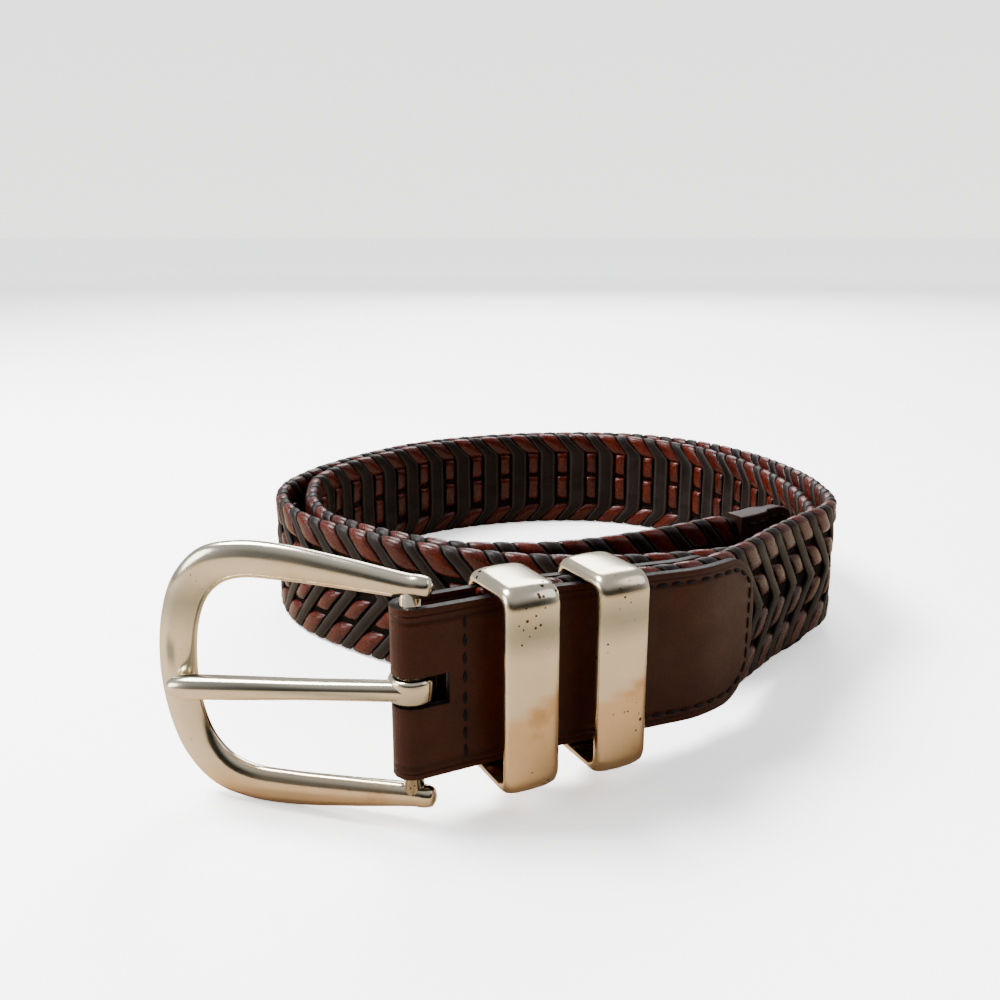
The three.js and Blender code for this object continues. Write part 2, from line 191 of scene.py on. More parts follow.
def onStrap(run, up, out):      # millimetres along, up and outwards, to metres in the frame
    reach = 1.5
    ahead = linePoint(run + reach) - linePoint(run - reach)
    outward = Vector((ahead.y, -ahead.x)).normalized()
    place = linePoint(run) + outward * out
    return Vector((place.x, place.y, strapMiddle(run) + up)) * mm


print("strap length", round(strapLength, 1), "mm")

print("stage: modelling helpers")


def sweepRings(bm, rings, isLoop=False):
    row = [bm.verts.new(point) for point in rings[0]]
    edges = [bm.edges.new(pair) for pair in zip(row, row[1:] + row[:1])]
    rows = [row]
    for ring in rings[1:]:
        made = bmesh.ops.extrude_edge_only(bm, edges=edges)["geom"]
        edges = [item for item in made if isinstance(item, bmesh.types.BMEdge)]
        order = {vert: i for i, vert in enumerate(row)}
        row = [None] * len(ring)
        for vert in (item for item in made if isinstance(item, bmesh.types.BMVert)):
            parent = next(e.other_vert(vert) for e in vert.link_edges if e.other_vert(vert) in order)
            row[order[parent]] = vert
            vert.co = ring[order[parent]]
        rows.append(row)
    if isLoop:
        bmesh.ops.bridge_loops(bm, edges=ringEdges(rows[0]) + ringEdges(rows[-1]))
    else:
        bmesh.ops.contextual_create(bm, geom=ringEdges(rows[0]))
        bmesh.ops.contextual_create(bm, geom=ringEdges(rows[-1]))
    return rows


def ringEdges(row):
    return [next(e for e in a.link_edges if e.other_vert(a) is b)
            for a, b in zip(row, row[1:] + row[:1])]


def smoothStep(value, low, high):
    t = min(max((value - low) / (high - low), 0), 1)
    return t * t * (3 - 2 * t)


metalReflections = {
    "underFull": 0.8,       # faces that look down by this much get the full painted warm reflection
    "underShare": 0.8,
    "darkReflectionShare": 0.85,
}


# painted reflections on the plating: drawn warm, as the tan table reflected, on faces that look down and
# below a height that may lean along the piece, and drawn darker in a band as a painted dark reflection
def paintMetalReflections(bm, warmBelow, darkReflectionBand, spread=4.0, lean=0.0, leanFrom=0.0):
    warmReflectionAndWear = bm.verts.layers.float.new("warmReflectionAndWear")
    darkReflectionAndNick = bm.verts.layers.float.new("darkReflectionAndNick")
    bandMiddle = (darkReflectionBand[0] + darkReflectionBand[1]) / 2
    bandHalf = (darkReflectionBand[1] - darkReflectionBand[0]) / 2
    bmesh.ops.recalc_face_normals(bm, faces=bm.faces)
    for vert in bm.verts:
        vert.normal_update()
        height = vert.co.z / mm
        under = smoothStep(-vert.normal.z, 0.0, metalReflections["underFull"])
        border = warmBelow + lean * (vert.co.x / mm - leanFrom)
        low = 1 - smoothStep(height - border, -spread, spread)
        vert[warmReflectionAndWear] = max(under * metalReflections["underShare"], low)
        vert[darkReflectionAndNick] = (1 - smoothStep(abs(height - bandMiddle), 0, bandHalf)) * metalReflections["darkReflectionShare"]


def finishMesh(bm, name, body, material, smooth=True):
    bmesh.ops.recalc_face_normals(bm, faces=bm.faces)
    for face in bm.faces:
        face.smooth = smooth
    mesh = bpy.data.meshes.new(name)
    bm.to_mesh(mesh)
    bm.free()
    piece = bpy.data.objects.new(name, mesh)
    bpy.context.scene.collection.objects.link(piece)
    mesh.materials.append(material)
    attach(piece, body)
    return piece


def roundEdges(piece, width, segments, angle):
    bevel = piece.modifiers.new("edge", "BEVEL")
    bevel.width = width * mm
    bevel.segments = segments
    bevel.limit_method = "ANGLE"
    bevel.angle_limit = math.radians(angle)


def addNode(tree, kind, settings=None, inputs=None):
    node = tree.nodes.new("ShaderNode" + kind)
    for key, value in (settings or {}).items():
        setattr(node, key, value)
    for key, value in (inputs or {}).items():
        if isinstance(value, bpy.types.NodeSocket):
            tree.links.new(value, node.inputs[key])
        else:
            node.inputs[key].default_value = value
    return node


def newGroup(name, sockets):
    group = bpy.data.node_groups.new(name, "ShaderNodeTree")
    for label, direction, kind, value in sockets:
        socket = group.interface.new_socket(label, in_out=direction, socket_type="NodeSocket" + kind)
        if value is not None:
            socket.default_value = value
    return group, group.nodes.new("NodeGroupInput").outputs, group.nodes.new("NodeGroupOutput").inputs


def newMaterial(name, color, roughness, metallic=0.0, coat=0.0, coatRoughness=0.1, gloss=0.5):
    material = bpy.data.materials.new(name)
    material.use_nodes = True
    shader = material.node_tree.nodes["Principled BSDF"]
    shader.inputs["Base Color"].default_value = (*color, 1)
    shader.inputs["Roughness"].default_value = roughness
    shader.inputs["Metallic"].default_value = metallic
    shader.inputs["Specular IOR Level"].default_value = gloss
    shader.inputs["Coat Weight"].default_value = coat
    shader.inputs["Coat Roughness"].default_value = coatRoughness
    return material, material.node_tree, shader


def mixColors(tree, factor, first, second, blend="MIX"):
    node = addNode(tree, "Mix", {"data_type": "RGBA", "blend_type": blend})
    for index, value in ((0, factor), (6, first), (7, second)):
        if isinstance(value, bpy.types.NodeSocket):
            tree.links.new(value, node.inputs[index])
        elif index == 0:
            node.inputs[index].default_value = value
        else:
            node.inputs[index].default_value = (*value, 1)
    return node.outputs[2]


def remap(tree, value, low, high, toLow, toHigh):
    node = addNode(tree, "MapRange", {}, {
        "Value": value, "From Min": low, "From Max": high, "To Min": toLow, "To Max": toHigh})
    return node.outputs["Result"]


def calculate(tree, operation, *values, clamp=False):
    settings = {"operation": operation, "use_clamp": clamp}
    return addNode(tree, "Math", settings, dict(enumerate(values))).outputs[0]


def readAttribute(tree, name, output="Fac"):
    return addNode(tree, "Attribute", {"attribute_name": name}).outputs[output]


def placeGroup(tree, group, inputs):
    return addNode(tree, "Group", {"node_tree": group}, inputs).outputs


def lineMask(tree, value, at, halfWidth):
    away = calculate(tree, "ABSOLUTE", calculate(tree, "SUBTRACT", value, at))
    return remap(tree, away, 0.0, halfWidth, 1.0, 0.0)


def bump(tree, shader, height, distance, strength):
    node = addNode(tree, "Bump", {}, {
        "Height": height, "Distance": distance, "Strength": strength})
    tree.links.new(node.outputs["Normal"], shader.inputs["Normal"])


print("stage: shader groups")


def grainGroup():       # fine leather grain: pores and soft creases
    group, given, out = newGroup("leatherGrain", [
        ("Vector", "INPUT", "Vector", None),
        ("Scale", "INPUT", "Float", 900.0),
        ("Height", "OUTPUT", "Float", None),
        ("Mottle", "OUTPUT", "Float", None),
    ])
    pores = addNode(group, "TexVoronoi", {"feature": "DISTANCE_TO_EDGE"}, {
        "Vector": given["Vector"], "Scale": given["Scale"]})
    edges = remap(group, pores.outputs["Distance"], 0.0, 0.25, 0.0, 1.0)
    fine = addNode(group, "TexNoise", {}, {"Vector": given["Vector"], "Scale": 2600.0, "Detail": 3.0})
    height = calculate(group, "MULTIPLY_ADD", fine.outputs["Fac"], 0.6, edges)
    clouds = addNode(group, "TexNoise", {}, {"Vector": given["Vector"], "Scale": 110.0, "Detail": 5.0})
    group.links.new(height, out["Height"])
    group.links.new(clouds.outputs["Fac"], out["Mottle"])
    return group


def crackleGroup():     # glazed leather that has crazed along the strand
    group, given, out = newGroup("crackleGlaze", [
        ("Vector", "INPUT", "Vector", None),
        ("Scale", "INPUT", "Float", 1.0),
        ("Cracks", "OUTPUT", "Float", None),
        ("Patches", "OUTPUT", "Float", None),
    ])
    stretch = addNode(group, "Mapping", {}, {"Vector": given["Vector"], "Scale": (1.0, 0.45, 1.0)})
    wobble = addNode(group, "TexNoise", {}, {
        "Vector": stretch.outputs[0], "Scale": 1.4, "Detail": 4.0})
    moved = mixColors(group, 0.35, stretch.outputs[0], wobble.outputs["Color"], "LINEAR_LIGHT")
    cells = addNode(group, "TexVoronoi", {"feature": "DISTANCE_TO_EDGE"}, {
        "Vector": moved, "Scale": calculate(group, "MULTIPLY", given["Scale"], 1.6)})
    cracks = remap(group, cells.outputs["Distance"], 0.0, 0.09, 1.0, 0.0)
    patches = addNode(group, "TexNoise", {}, {
        "Vector": stretch.outputs[0], "Scale": 0.55, "Detail": 6.0, "Roughness": 0.65})
    group.links.new(cracks, out["Cracks"])
    group.links.new(patches.outputs["Fac"], out["Patches"])
    return group


def tarnishGroup():     # smudges, fine scratches and rust specks on plated metal
    group, given, out = newGroup("tarnish", [
        ("Vector", "INPUT", "Vector", None),
        ("Specks", "INPUT", "Float", 0.5),
        ("Speck Mask", "OUTPUT", "Float", None),
        ("Smudge", "OUTPUT", "Float", None),
        ("Scratch", "OUTPUT", "Float", None),
    ])
    dots = addNode(group, "TexVoronoi", {}, {"Vector": given["Vector"], "Scale": 760.0})
    gate = addNode(group, "TexNoise", {}, {"Vector": given["Vector"], "Scale": 90.0, "Detail": 3.0})
    allowed = remap(group, gate.outputs["Fac"], 0.47, 0.72, 0.0, 0.36)
    size = calculate(group, "MULTIPLY", allowed, given["Specks"])
    speck = calculate(group, "LESS_THAN", dots.outputs["Distance"], size)
    smudge = addNode(group, "TexNoise", {}, {
        "Vector": given["Vector"], "Scale": 55.0, "Detail": 6.0, "Roughness": 0.6})
    lines = addNode(group, "Mapping", {}, {
        "Vector": given["Vector"], "Rotation": (0.3, 0.5, 0.2), "Scale": (900.0, 40.0, 900.0)})
    scratch = addNode(group, "TexNoise", {}, {"Vector": lines.outputs[0], "Scale": 1.0, "Detail": 1.0})
    group.links.new(speck, out["Speck Mask"])
    group.links.new(smudge.outputs["Fac"], out["Smudge"])
    group.links.new(remap(group, scratch.outputs["Fac"], 0.66, 0.72, 0.0, 1.0), out["Scratch"])
    return group


leatherGrain = grainGroup()
crackleGlaze = crackleGroup()
tarnish = tarnishGroup()

print("stage: materials")

finish = {
    "redDark": (0.017, 0.0016, 0.0008),
    "redMiddle": (0.062, 0.0042, 0.0012),
    "redLight": (0.138, 0.0128, 0.0026),
    "bandDark": (0.0065, 0.0040, 0.0034),
    "bandLight": (0.019, 0.0120, 0.0100),
    # painted highlight on the grey bands' edges
    "bandEdgeHighlight": (0.062, 0.050, 0.046),
    # near-black: painted shade in the gaps and grooves between strands and bands, in the chape's thread
    # channel and on the sheet inside the braid; also the darkest end of edge paint and thread
    "nearBlackAndShade": (0.0022, 0.0014, 0.0010),
    "chapeDark": (0.027, 0.0040, 0.0013),
    "chapeLight": (0.074, 0.0138, 0.0036),
    "edgePaint": (0.010, 0.0080, 0.0070),
    "thread": (0.010, 0.0040, 0.0030),
    "plate": (0.89, 0.80, 0.62),
    # painted reflections on the plating: the warm tan table below, and a dark band (plateShade also colours
    # the worn nick)
    "plateWarmReflection": (0.80, 0.55, 0.31),
    "plateShade": (0.33, 0.34, 0.28),
    "rust": (0.10, 0.04, 0.015),
    "rustBloom": (0.42, 0.23, 0.09),
}


noiseSpan = (0.3, 0.7)      # most of a noise's values lie between these
patchSpan = (0.35, 0.65)    # narrower, for clearer patches


def strandMaterial():
    material, tree, shader = newMaterial("crackledStrand", finish["redMiddle"], 0.3,
                                         coat=0.16, coatRoughness=0.12, gloss=0.22)
    flat = readAttribute(tree, "flat", "Vector")
    glaze = placeGroup(tree, crackleGlaze, {"Vector": flat, "Scale": 1.0})
    patches = remap(tree, glaze["Patches"], *patchSpan, 0.0, 1.0)
    cracked = calculate(tree, "MULTIPLY", glaze["Cracks"], 0.8)
    # painted shade: each strand is drawn near-black towards its rim, where it dives under its neighbours
    edge = remap(tree, readAttribute(tree, "rim"), 0.45, 1.0, 0.0, 0.9)
    color = mixColors(tree, patches, finish["redMiddle"], finish["redLight"])
    color = mixColors(tree, readAttribute(tree, "tone"), color, finish["redDark"])
    color = mixColors(tree, cracked, color, finish["redDark"])
    color = mixColors(tree, edge, color, finish["nearBlackAndShade"])
    tree.links.new(color, shader.inputs["Base Color"])
    rough = remap(tree, glaze["Patches"], *noiseSpan, 0.16, 0.36)
    tree.links.new(rough, shader.inputs["Roughness"])
    height = calculate(tree, "MULTIPLY_ADD", glaze["Cracks"], -1.0, glaze["Patches"])
    bump(tree, shader, height, 0.00012, 0.3)
    return material


def bandMaterial():
    material, tree, shader = newMaterial("greyBand", finish["bandLight"], 0.5, gloss=0.18)
    flat = readAttribute(tree, "flat", "Vector")
    metres = addNode(tree, "VectorMath", {"operation": "SCALE"}, {0: flat, "Scale": mm}).outputs[0]
    grain = placeGroup(tree, leatherGrain, {"Vector": metres, "Scale": 1500.0})
    rim = readAttribute(tree, "rim")
    mottle = remap(tree, grain["Mottle"], *patchSpan, 0.0, 1.0)
    # painted highlight: a pale line along each band's shoulder, where its cut edge catches the light
    cut = calculate(tree, "MULTIPLY", lineMask(tree, rim, 0.5, 0.16), 0.6)
    color = mixColors(tree, mottle, finish["bandDark"], finish["bandLight"])
    color = mixColors(tree, readAttribute(tree, "tone"), color, finish["bandDark"])
    color = mixColors(tree, cut, color, finish["bandEdgeHighlight"])
    # painted shade: each band is drawn near-black at its rim, where it dives under the strands
    color = mixColors(tree, remap(tree, rim, 0.6, 1.0, 0.0, 0.9), color, finish["nearBlackAndShade"])
    tree.links.new(color, shader.inputs["Base Color"])
    tree.links.new(remap(tree, grain["Mottle"], *noiseSpan, 0.34, 0.5), shader.inputs["Roughness"])
    bump(tree, shader, grain["Height"], 0.00005, 0.5)
    return material


# a line pressed round the edge and drawn darker, and the channel that the thread lies in, darkened as
# painted shade: millimetres inwards
crease = {"at": 1.15, "half": 0.3, "channelAt": 2.3, "channelHalf": 0.75, "channelShade": 0.45, "depth": 7.0}


def smoothLeather(name, dark, light, rough, grainScale, grainDepth, gloss=0.24, creased=False):
    material, tree, shader = newMaterial(name, light, rough[0], gloss=gloss)
    place = addNode(tree, "TexCoord").outputs["Object"]
    grain = placeGroup(tree, leatherGrain, {"Vector": place, "Scale": grainScale})
    color = mixColors(tree, remap(tree, grain["Mottle"], 0.1, 0.8, 0.0, 1.0), dark, light)
    height = grain["Height"]
    if creased:
        inset = readAttribute(tree, "inset")
        line = lineMask(tree, inset, crease["at"], crease["half"])
        channel = lineMask(tree, inset, crease["channelAt"], crease["channelHalf"])
        color = mixColors(tree, line, color, dark)
        shade = calculate(tree, "MULTIPLY", channel, crease["channelShade"])
        color = mixColors(tree, shade, color, finish["nearBlackAndShade"])
        pressedIn = calculate(tree, "MAXIMUM", line, channel)
        height = calculate(tree, "MULTIPLY_ADD", pressedIn, -crease["depth"], height)
    tree.links.new(color, shader.inputs["Base Color"])
    roughness = remap(tree, grain["Mottle"], *noiseSpan, rough[1], rough[0])
    tree.links.new(roughness, shader.inputs["Roughness"])
    bump(tree, shader, height, grainDepth, 0.5)
    return material


def metalMaterial(name, specks, warmth, rough):
    material, tree, shader = newMaterial(name, finish["plate"], rough[0], metallic=1.0)
    place = addNode(tree, "TexCoord").outputs["Object"]
    marks = placeGroup(tree, tarnish, {"Vector": place, "Specks": specks})
    warmReflectionAndWear = readAttribute(tree, "warmReflectionAndWear")
    cloud = remap(tree, marks["Smudge"], *noiseSpan, -0.25, 0.25)
    # painted reflection: the table's warm tan on the lower and downward plating, moved about by random
    # smudges
    warm = calculate(tree, "MULTIPLY_ADD", warmReflectionAndWear, warmth, cloud, clamp=True)
    smudged = remap(tree, marks["Smudge"], 0.35, 0.6, 0.7, 1.0)
    # painted dark reflection band, together with the worn nick, drawn in plateShade
    darkReflectionAndNickMask = calculate(tree, "MULTIPLY", readAttribute(tree, "darkReflectionAndNick"), smudged)
    # rust bloom, a real stain, lies only within the painted warm reflection
    bloom = calculate(tree, "MULTIPLY", warmReflectionAndWear, remap(tree, marks["Smudge"], 0.54, 0.66, 0.0, 0.55))
    color = mixColors(tree, warm, finish["plate"], finish["plateWarmReflection"])
    color = mixColors(tree, darkReflectionAndNickMask, color, finish["plateShade"])
    color = mixColors(tree, bloom, color, finish["rustBloom"])
    color = mixColors(tree, marks["Speck Mask"], color, finish["rust"])
    tree.links.new(color, shader.inputs["Base Color"])
    tree.links.new(remap(tree, marks["Smudge"], 0.35, 0.7, *rough), shader.inputs["Roughness"])
    bump(tree, shader, marks["Scratch"], 0.00001, 0.3)
    return material


redStrand = strandMaterial()
greyBand = bandMaterial()
# a near-black sheet of painted shade inside the braid
gapShadeSheet = smoothLeather("gapShadeSheet", finish["nearBlackAndShade"], finish["edgePaint"], rough=(0.8, 0.9),
                         grainScale=900.0, grainDepth=0.00005, gloss=0.08)
chapeLeather = smoothLeather("chapeLeather", finish["chapeDark"], finish["chapeLight"], rough=(0.34, 0.46),
                             grainScale=1300.0, grainDepth=0.00004, creased=True)
tabLeather = smoothLeather("tabLeather", finish["bandDark"], finish["chapeDark"], rough=(0.4, 0.55),
                           grainScale=1300.0, grainDepth=0.00004)
edgePaint = smoothLeather("edgePaint", finish["nearBlackAndShade"], finish["edgePaint"], rough=(0.4, 0.6),
                          grainScale=700.0, grainDepth=0.00008)
threadMaterial = smoothLeather("darkThread", finish["nearBlackAndShade"], finish["thread"], rough=(0.55, 0.7),
                               grainScale=2600.0, grainDepth=0.00005)
buckleMetal = metalMaterial("buckleMetal", specks=0.45, warmth=0.9, rough=(0.12, 0.24))
prongMetal = metalMaterial("prongMetal", specks=0.2, warmth=0.8, rough=(0.12, 0.22))
keeperMetal = metalMaterial("keeperMetal", specks=1.0, warmth=0.9, rough=(0.12, 0.24))

print("stage: woven strands")

weave = {
    "pitch": 10.6,
    "slope": 0.9,           # lean of the outside strands, along per up
    "innerSlope": 0.95,
    "redHalf": 3.0,
    "redMidHalf": 2.45,
    "redBackHalf": 1.8,
    "greyHalf": 2.05,
    "greyBackHalf": 2.95,
    "wrapRadius": 1.75,
    "wrapSteps": 6,
    "start": 13.0,
    "lead": 14.0,           # the first repeat is laid this far back, then cut at the start
    "backTurn": 9.6,        # height where strands turn straight up the inside
    "backLean": 9.9,
    "backTop": 11.8,
    "backSink": 0.12,       # how far bands lie under the surface
    "frontSink": 0.1,
    "frontUps": (12.2, 9.6, 7.2, 4.8, 2.4, 0.9),
    "backUps": (0, 4.5, 8.2),
    "meetUp": 0.15,         # where a band's two arms meet
    "meetWidth": 1.05,
    "leanWidth": 0.98,
    "toneSpread": 0.55,
    "patternStep": (7.3, 3.1, 0),
    "jitter": 0.22,
    "jitterScale": (0.22, 0.2, 0.3),
    "jitterShare": (1, 0.5, 0.35),
}
half = strap["width"] / 2
face = strap["thickness"] / 2
wrapUp = half - weave["wrapRadius"]
tip = {
    "length": 25.0,
    "width": 31.0,
    "overlap": 9.0,
    "leather": 1.5,
    "endDepth": 10.0,
    "endFlat": 8.0,
    "endSteps": 12,
    "step": 1.2,
    "chamfer": 0.25,
    "edgeRound": 0.12,
    "edgeSegments": 2,
    "edgeAngle": 30.0,
    "stitchStart": 2.0,
    "entryHalf": 12.5,
    "stepGap": 0.3,         # past the braid's end, where the two leathers close up
    "stepRun": 2.2,
    # the braid is pressed thinner and narrower between the tab's leathers
    "pressedThickness": 2.0,
    "pressedWidth": 28.0,
    "pressRun": 5.0,
}
tipStart = strapLength - tip["length"]
braidEnd = tipStart + tip["overlap"]

# across the strand: share of its half width, depth under the surface, how near its rim
strandProfile = [(-1, -1.0, 1), (-1, -0.38, 1), (-0.78, -0.08, 0.5), (0, 0.06, 0),
                 (0.78, -0.08, 0.5), (1, -0.38, 1), (1, -1.0, 1)]


# rows along a strand: run, height on the strap, how far out of its middle, turn, half width
def wrapRows(width):        # round the strap's upper edge, from the inside to the outside
    rows = []
    for step in range(weave["wrapSteps"] + 1):
        share = step / weave["wrapSteps"]
        angle = math.radians(180 * (1 - share))
        up = wrapUp + weave["wrapRadius"] * math.sin(angle)
        run = insideRun(wrapUp) * (1 - share) + outsideRun(wrapUp) * share
        rows.append((run, up, weave["wrapRadius"] * math.cos(angle), angle, width))
    return rows


def outsideRun(up):
    return (half - abs(up)) * weave["slope"]


def insideRun(up):
    return -(half - abs(up)) * weave["innerSlope"]


# height on the strap, how far out of its middle, share of the half width
redInside = [(9.0, -0.3, 0.75), (9.5, -1.0, 0.85), (10.3, -1.55, 0.95), (11.6, -face, 1), (13.2, -face, 1)]
redOutside = [(13.0, face, 1), (11.8, face + 0.1, 1), (10.6, face + 0.04, 1), (9.7, face - 0.25, 0.97),
              (9.1, face - 0.85, 0.9), (8.8, 0.2, 0.85)]
redCentre = [(7.7, 0.1, 0.85), (7.4, face - 0.8, 0.92), (6.9, face - 0.2, 1), (5.9, face + 0.05, 1),
             (4.4, face + 0.1, 1), (3.0, face, 1), (2.1, face - 0.3, 0.96), (1.6, face - 0.9, 0.88),
             (1.3, 0.1, 0.8)]


def redWrap():
    halfWidth = weave["redHalf"]
    rows = [(insideRun(up), up, out, math.pi, halfWidth * size) for up, out, size in redInside]
    return rows + wrapRows(halfWidth) + outsideRows(redOutside, halfWidth)


def outsideRows(table, halfWidth):
    return [(outsideRun(up), up, out, 0, halfWidth * size) for up, out, size in table]


def redBack(top, bottom):
    table = [(top + 0.1, -0.5, 0.9), (top - 0.1, -face + 0.4, 1), (top - 0.6, -face - 0.1, 1),
             (top - 1.8, -face - 0.12, 1), ((top + bottom) / 2, -face, 1), (bottom + 1.7, -face + 0.08, 1),
             (bottom + 0.9, -face + 0.5, 0.95), (bottom + 0.4, -0.7, 0.88), (bottom + 0.2, -0.1, 0.8)]
    start = insideRun(weave["backTurn"])
    return [(start, up, out, math.pi, weave["redBackHalf"] * size) for up, out, size in table]


def greyLoop():
    back, front = weave["greyBackHalf"], weave["greyHalf"]
    lean, top = weave["backLean"], weave["backTop"]
    start = insideRun(weave["backTurn"])
    outer = face - weave["frontSink"]
    rows = [(start, up, -face + weave["backSink"], math.pi, back) for up in weave["backUps"]]
    rows.append((insideRun(lean), lean, -outer, math.pi, back * weave["leanWidth"]))
    rows.append((insideRun(top), top, -face, math.pi, (back + front) / 2))
    rows += wrapRows(front)
    rows += [(outsideRun(up), up, outer, 0, front) for up in weave["frontUps"]]
    rows.append((outsideRun(weave["meetUp"]), 0, outer, 0, front * weave["meetWidth"]))
    return rows + mirrorRows(rows[1:-1])


def layStrand(bm, rows, shift, isLoop, flatLayer, rimLayer):
    rings = []
    for run, up, out, angle, width in rows:
        rings.append([Vector((run + shift + side * width, up + depth * math.sin(angle),
                              out + depth * math.cos(angle))) for side, depth, _ in strandProfile])
    made = sweepRings(bm, rings, isLoop)
    length = 0
    for i, row in enumerate(made):
        if i:
            length += (Vector(rows[i][:3]) - Vector(rows[i - 1][:3])).length
        for vert, (side, depth, rim) in zip(row, strandProfile):
            isTip = not isLoop and i in (0, len(made) - 1)
            vert[flatLayer] = (side * rows[i][4], length, depth)
            vert[rimLayer] = max(rim, 1.0 if isTip else 0.0)


def mirrorRows(rows):
    return [(run, -up, out, -angle, width) for run, up, out, angle, width in reversed(rows)]


def strandLayers(bm):
    flatLayer = bm.verts.layers.float_vector.new("flat")
    rimLayer = bm.verts.layers.float.new("rim")
    toneLayer = bm.verts.layers.float.new("tone")
    return flatLayer, rimLayer, toneLayer


def pressed(run):
    return min(max((run - tipStart + tip["pressRun"]) / tip["pressRun"], 0), 1)


def weaveStrands(name, strands, material):
    link = bpy.data.meshes.new("link")
    unit = bmesh.new()
    flatLayer, rimLayer, _ = strandLayers(unit)
    for rows, shift, isLoop in strands:
        layStrand(unit, rows, shift, isLoop, flatLayer, rimLayer)
    unit.to_mesh(link)
    unit.free()
    bm = bmesh.new()
    flatLayer, _, toneLayer = strandLayers(bm)
    count = int((braidEnd - weave["start"]) / weave["pitch"]) + 2
    for k in range(count):
        before = len(bm.verts)
        bm.from_mesh(link)
        bm.verts.ensure_lookup_table()
        tone = random.uniform(0.0, weave["toneSpread"])
        offset = Vector(weave["patternStep"]) * k
        for vert in bm.verts[before:]:
            vert[toneLayer] = tone
            vert[flatLayer] = vert[flatLayer] + offset
            vert.co.x += weave["start"] - weave["lead"] + k * weave["pitch"]
    for cut, direction in ((weave["start"], -1), (braidEnd, 1)):
        geometry = bm.verts[:] + bm.edges[:] + bm.faces[:]
        bmesh.ops.bisect_plane(bm, geom=geometry, plane_co=(cut, 0, 0), plane_no=(direction, 0, 0),
                               clear_outer=True)
    rims = [edge for edge in bm.edges if edge.is_boundary]
    bmesh.ops.holes_fill(bm, edges=rims, sides=0)
    for vert in bm.verts:
        run, up, out = vert.co
        place = Vector(at * scale for at, scale in zip(vert.co, weave["jitterScale"]))
        wander = noise.noise_vector(place) * weave["jitter"]
        along, aside, outward = (move * share for move, share in zip(wander, weave["jitterShare"]))
        thin = 1 - (1 - tip["pressedThickness"] / strap["thickness"]) * pressed(run)
        narrow = 1 - (1 - tip["pressedWidth"] / strap["width"]) * pressed(run)
        vert.co = onStrap(run + along, (up + aside) * narrow, (out + outward) * thin)
    bpy.data.meshes.remove(link)
    return finishMesh(bm, name, "strap", material)


halfPitch = weave["pitch"] / 2
redCentreRows = outsideRows(redCentre, weave["redMidHalf"])
redPaths = [redWrap(), mirrorRows(redWrap()), redCentreRows, mirrorRows(redCentreRows),
            redBack(9.4, 1.6), redBack(1.0, -7.6)]
redStrands = weaveStrands("red_strands", [(path, halfPitch, False) for path in redPaths], redStrand)
greyBands = weaveStrands("grey_bands", [(greyLoop(), 0, True)], greyBand)


def ringAt(run, out, thickness, width, chamfer):
    t, w = thickness / 2, width / 2
    outline = [(-t, -w + chamfer), (-t + chamfer, -w), (t - chamfer, -w), (t, -w + chamfer),
               (t, w - chamfer), (t - chamfer, w), (-t + chamfer, w), (-t, w - chamfer)]
    return [onStrap(run, up, out + side) for side, up in outline]


def runsBetween(start, end, step):
    count = max(1, round((end - start) / step))
    return [start + (end - start) * i / count for i in range(count + 1)]


# painted shade: a near-black sheet inside the braid stands for the shade seen through the gaps between
# strands
gapShade = {
    "step": 3.0,
    "thickness": 1.2,
    "width": 30.4,
    "narrowed": 3.2,        # narrower by this where the tab presses it
    "chamfer": 0.3,
}


def makeGapShade():
    bm = bmesh.new()
    rings = []
    for run in runsBetween(weave["start"], braidEnd, gapShade["step"]):
        width = gapShade["width"] - gapShade["narrowed"] * pressed(run)
        rings.append(ringAt(run, 0, gapShade["thickness"], width, gapShade["chamfer"]))
    sweepRings(bm, rings)
    return finishMesh(bm, "braid_gap_shade", "strap", gapShadeSheet, smooth=False)


braidGapShade = makeGapShade()
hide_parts("braid")
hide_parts("braid")
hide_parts("braid")

print("stage: chape")

chape = {
    "leather": 1.5,
    "channelHalf": 2.1,
    "width": 31.0,
    "length": 77.5,
    "backLength": 74.0,
    "endDepth": 11.5,
    "endFlat": 9.0,
    "slotEnd": 5.4,         # room for the pin when buckle and prong are both swung out
    "slotHeight": 5.6,
    "slotRise": 1.4,        # above the buckle's middle
    "edgeRound": 0.32,
    "edgeSegments": 3,
    "edgeAngle": 50.0,
    "endInset": 0.3,
    "waveScale": (0.05, 0.07),
    "waveSeed": 4.0,
    "waveDepth": 0.12,
    "acrossSteps": 20,
    "alongStep": 1.2,
    "stitchInset": 2.3,
    "stitchPitch": 3.3,
    "stitchLength": 2.6,
    "stitchWidth": 0.85,
    "stitchHeight": 0.75,   # share of its width
    "stitchTaper": 0.25,
    "stitchSides": 8,
    "stitchRings": 6,
    "stitchLift": 0.02,
    "stitchStart": 44.0,    # the rows round the edge start beside the second keeper
    "barStitchRun": 8.3,    # a column beside the bar, in two parts
    "barStitches": [(13.6, 0.2), (-0.4, -13.6)],
}
sheetOut = chape["channelHalf"] + chape["leather"] / 2
foldLength = math.pi * sheetOut


def endWidth(width, flatWidth, depth, fromTip):
    reach = min(max(1 - fromTip / depth, 0), 1)
    return flatWidth + (width - flatWidth) * math.sqrt(1 - reach * reach)


def onChape(q, up, lift=0.0):       # q runs from the back layer's end, round the fold, to the front end
    out = sheetOut + lift
    foldStart = chape["backLength"]
    if q < foldStart:
        return onStrap(foldStart - q, up, -out)
    if q > foldStart + foldLength:
        return onStrap(q - foldStart - foldLength, up, out)
    angle = (q - foldStart) / sheetOut
    place = Vector((barX - out * math.sin(angle), barY + out * math.cos(angle)))
    return Vector((place.x, place.y, strapMiddle(0) + up)) * mm


def chapeWidthAt(q):
    total = chape["backLength"] + foldLength + chape["length"]
    return endWidth(chape["width"], chape["endFlat"], chape["endDepth"], min(q, total - q))


